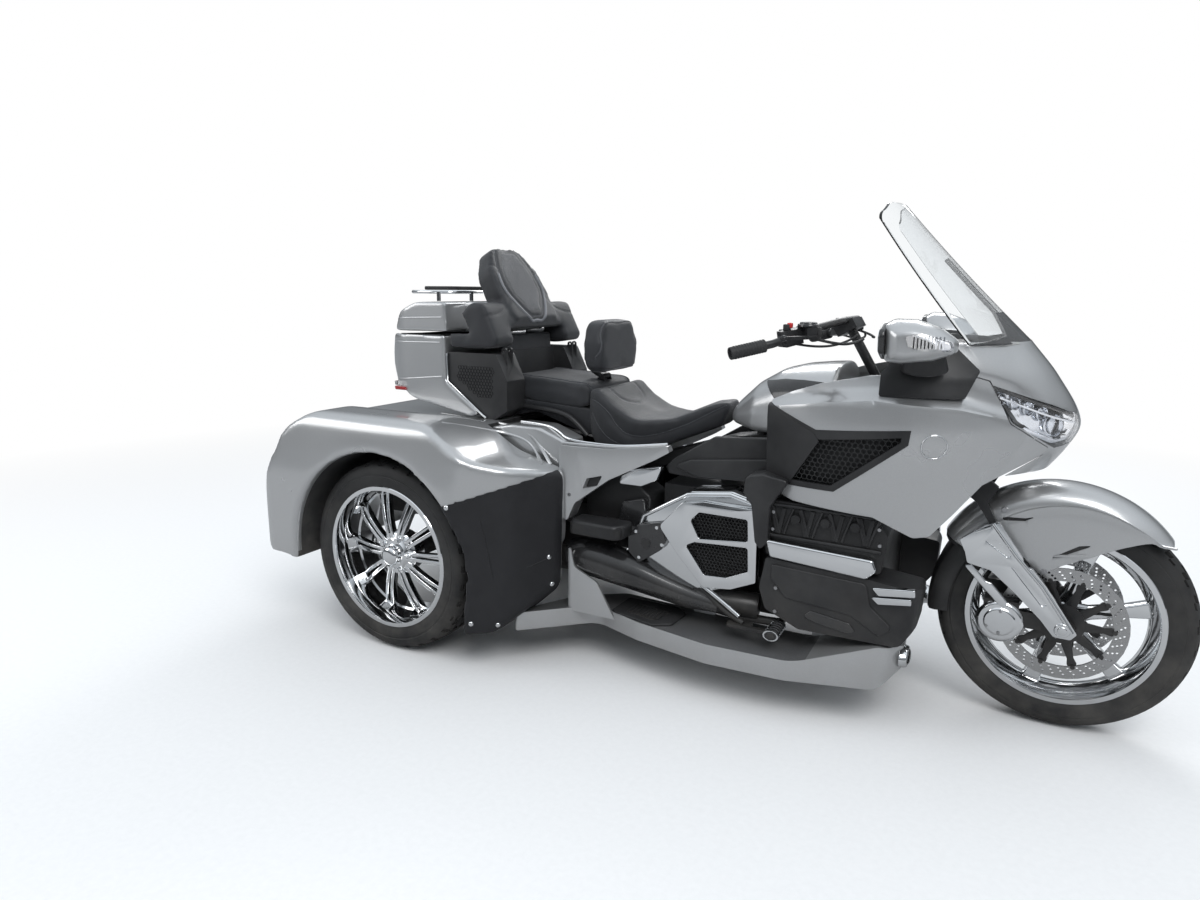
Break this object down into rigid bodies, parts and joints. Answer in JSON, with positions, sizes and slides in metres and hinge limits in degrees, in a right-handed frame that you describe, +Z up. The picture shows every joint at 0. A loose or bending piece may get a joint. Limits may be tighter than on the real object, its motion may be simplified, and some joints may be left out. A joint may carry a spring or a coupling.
{
  "type": "motorized trike",
  "caption": "Touring motorized trike with a fairing, tall screen, stepped seat, backrest, top box and a wide-fendered rear body with a boot.",
  "frame": {"origin": "on the floor, at the middle of the trike's length and width", "axes": "+X forward, +Y to the rider's left, +Z up"},
  "size_m": [2.8524, 1.2788, 1.445],
  "materials": {
    "silver_paint": "gloss",
    "black_steel": "satin",
    "black_plastic": "matte",
    "engine_black": "satin",
    "bright_chrome": "polished",
    "axle_iron": "matte",
    "disc_steel": "brushed",
    "tyre_rubber": "matte",
    "grip_rubber": "matte",
    "seat_vinyl": "matte",
    "wrap_vinyl": "satin",
    "clear_lens": "clear",
    "red_lens": "gloss"
  },
  "bodies": {
    "chassis": {"frame": "black_steel", "rear_axle": "axle_iron", "engine": "engine_black", "rocker_guards": "bright_chrome", "engine_covers": "bright_chrome", "lower_cowls": "black_plastic", "nose_fairing": "silver_paint", "side_fairings": "silver_paint", "grilles": "black_plastic", "headlamps": "clear_lens", "windscreen": "clear_lens", "mirrors": "silver_paint", "tank_shelter": "silver_paint", "dash": "black_plastic", "seat": "seat_vinyl", "side_covers": "silver_paint", "side_struts": "black_plastic", "rear_body": "silver_paint", "fender_wraps": "wrap_vinyl", "running_boards": "silver_paint", "board_pads": "grip_rubber", "exhausts": "black_steel", "foot_rests": "bright_chrome", "tail_lamps": "red_lens", "rear_bumper": "bright_chrome", "top_box": "silver_paint", "pods": "black_plastic"},
    "top_lid": {"box_lid": "silver_paint", "backrest": "seat_vinyl", "luggage_rack": "bright_chrome"},
    "boot_hatch": {"boot_door": "silver_paint"},
    "rider_backrest": {"backrest_post": "black_steel", "rider_pad": "seat_vinyl"},
    "front_fork": {"fork": "black_steel", "fork_covers": "bright_chrome", "front_fender": "silver_paint"},
    "bars": {"handlebar": "black_steel", "grips": "grip_rubber"},
    "front_wheel": {"front_tyre": "tyre_rubber", "front_rim": "bright_chrome", "front_discs": "disc_steel"},
    "rear_wheel_left": {"rear_tyre_left": "tyre_rubber", "rear_rim_left": "bright_chrome"},
    "rear_wheel_right": {"rear_tyre_right": "tyre_rubber", "rear_rim_right": "bright_chrome"}
  },
  "joints": [
    {"name": "steering", "type": "hinge", "parent": "chassis", "child": "front_fork", "pos_m": [0.78048, 0, 0.738], "axis": [-0.5075, 0, 0.8616], "range_deg": [-38, 38]},
    {"name": "bar_turn", "type": "hinge", "parent": "chassis", "child": "bars", "pos_m": [0.5312, 0, 1.01], "axis": [-0.5075, 0, 0.8616], "range_deg": [-38, 38]},
    {"name": "front_wheel_spin", "type": "hinge", "parent": "front_fork", "child": "front_wheel", "pos_m": [1.1062, 0, 0.32], "axis": [0, 1, 0], "continuous": true},
    {"name": "rear_wheel_left_spin", "type": "hinge", "parent": "chassis", "child": "rear_wheel_left", "pos_m": [-0.8638, 0.473, 0.325], "axis": [0, 1, 0], "continuous": true},
    {"name": "rear_wheel_right_spin", "type": "hinge", "parent": "chassis", "child": "rear_wheel_right", "pos_m": [-0.8638, -0.473, 0.325], "axis": [0, 1, 0], "continuous": true},
    {"name": "lid_hinge", "type": "hinge", "parent": "chassis", "child": "top_lid", "pos_m": [-0.6088, 0, 1], "axis": [0, 1, 0], "range_deg": [0, 50]},
    {"name": "boot_hinge", "type": "hinge", "parent": "chassis", "child": "boot_hatch", "pos_m": [-1.26862, 0, 0.727], "axis": [0, 1, 0], "range_deg": [0, 85]},
    {"name": "rider_backrest_tilt", "type": "hinge", "parent": "chassis", "child": "rider_backrest", "pos_m": [-0.3488, 0, 0.9085], "axis": [0, 1, 0], "range_deg": [-10, 33]}
  ],
  "couplings": [
    {"joint": "bar_turn", "follows": "steering", "ratio": 1}
  ]
}
